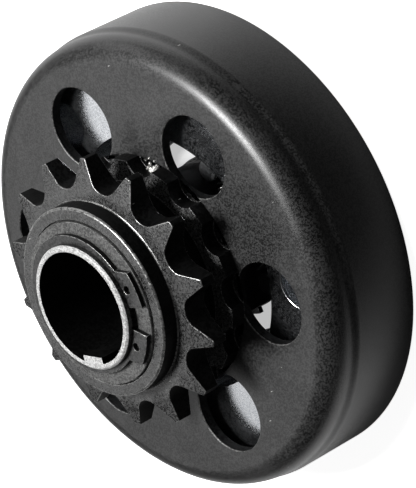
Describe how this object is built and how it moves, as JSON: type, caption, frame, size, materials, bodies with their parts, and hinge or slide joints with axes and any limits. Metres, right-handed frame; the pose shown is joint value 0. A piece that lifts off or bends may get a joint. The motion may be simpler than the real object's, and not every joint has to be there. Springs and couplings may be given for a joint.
{
  "type": "centrifugal clutch",
  "caption": "Centrifugal clutch with a dished drum, a chain sprocket, and sprung shoes on a keyed hub for an engine shaft.",
  "frame": {"origin": "on the shaft axis, in the plane of the drum's open rim", "axes": "+Z along the shaft axis, from the open rim to the nose; +X along one arm of the driver"},
  "size_m": [0.106, 0.106, 0.0472],
  "materials": {
    "drum_black": "satin black oxide",
    "sprocket_black": "satin black oxide",
    "bronze": "porous bronze",
    "hub_steel": "machined",
    "washer_steel": "ground",
    "ring_black": "phosphated spring steel",
    "sintered_iron": "sintered, oiled",
    "spring_wire": "drawn wire",
    "lining": "moulded friction material",
    "rivet_brass": "satin",
    "pin_steel": "zinc plated"
  },
  "bodies": {
    "drum_body": {"drum": "drum_black", "sprocket": "sprocket_black", "sprocket_bushing": "bronze"},
    "hub_body": {"hub": "hub_steel", "front_thrust_washer": "washer_steel", "front_retaining_ring": "ring_black", "inner_thrust_washer": "washer_steel", "driver": "sintered_iron", "rear_washer": "washer_steel", "rear_retaining_ring": "ring_black", "spring_right": "spring_wire", "spring_left": "spring_wire"},
    "shoe_a_body": {"shoe_a": "sintered_iron", "lining_a": "lining", "lining_rivets_a": "rivet_brass", "spring_pins_a": "pin_steel"},
    "shoe_b_body": {"shoe_b": "sintered_iron", "lining_b": "lining", "lining_rivets_b": "rivet_brass", "spring_pins_b": "pin_steel"}
  },
  "joints": [
    {"name": "hub_spin", "type": "hinge", "parent": "drum_body", "child": "hub_body", "pos_m": [0, 0, 0], "axis": [0, 0, 1], "continuous": true},
    {"name": "shoe_a_slide", "type": "slide", "parent": "hub_body", "child": "shoe_a_body", "axis": [0, 1, 0], "range_m": [0, 0.0009], "stiffness_N_per_m": 5000, "springref_m": -0.002, "deforming": ["spring_right", "spring_left"]},
    {"name": "shoe_b_slide", "type": "slide", "parent": "hub_body", "child": "shoe_b_body", "axis": [0, -1, 0], "range_m": [0, 0.0009], "stiffness_N_per_m": 5000, "springref_m": -0.002}
  ],
  "couplings": [
    {"joint": "shoe_b_slide", "follows": "shoe_a_slide", "ratio": 1}
  ]
}
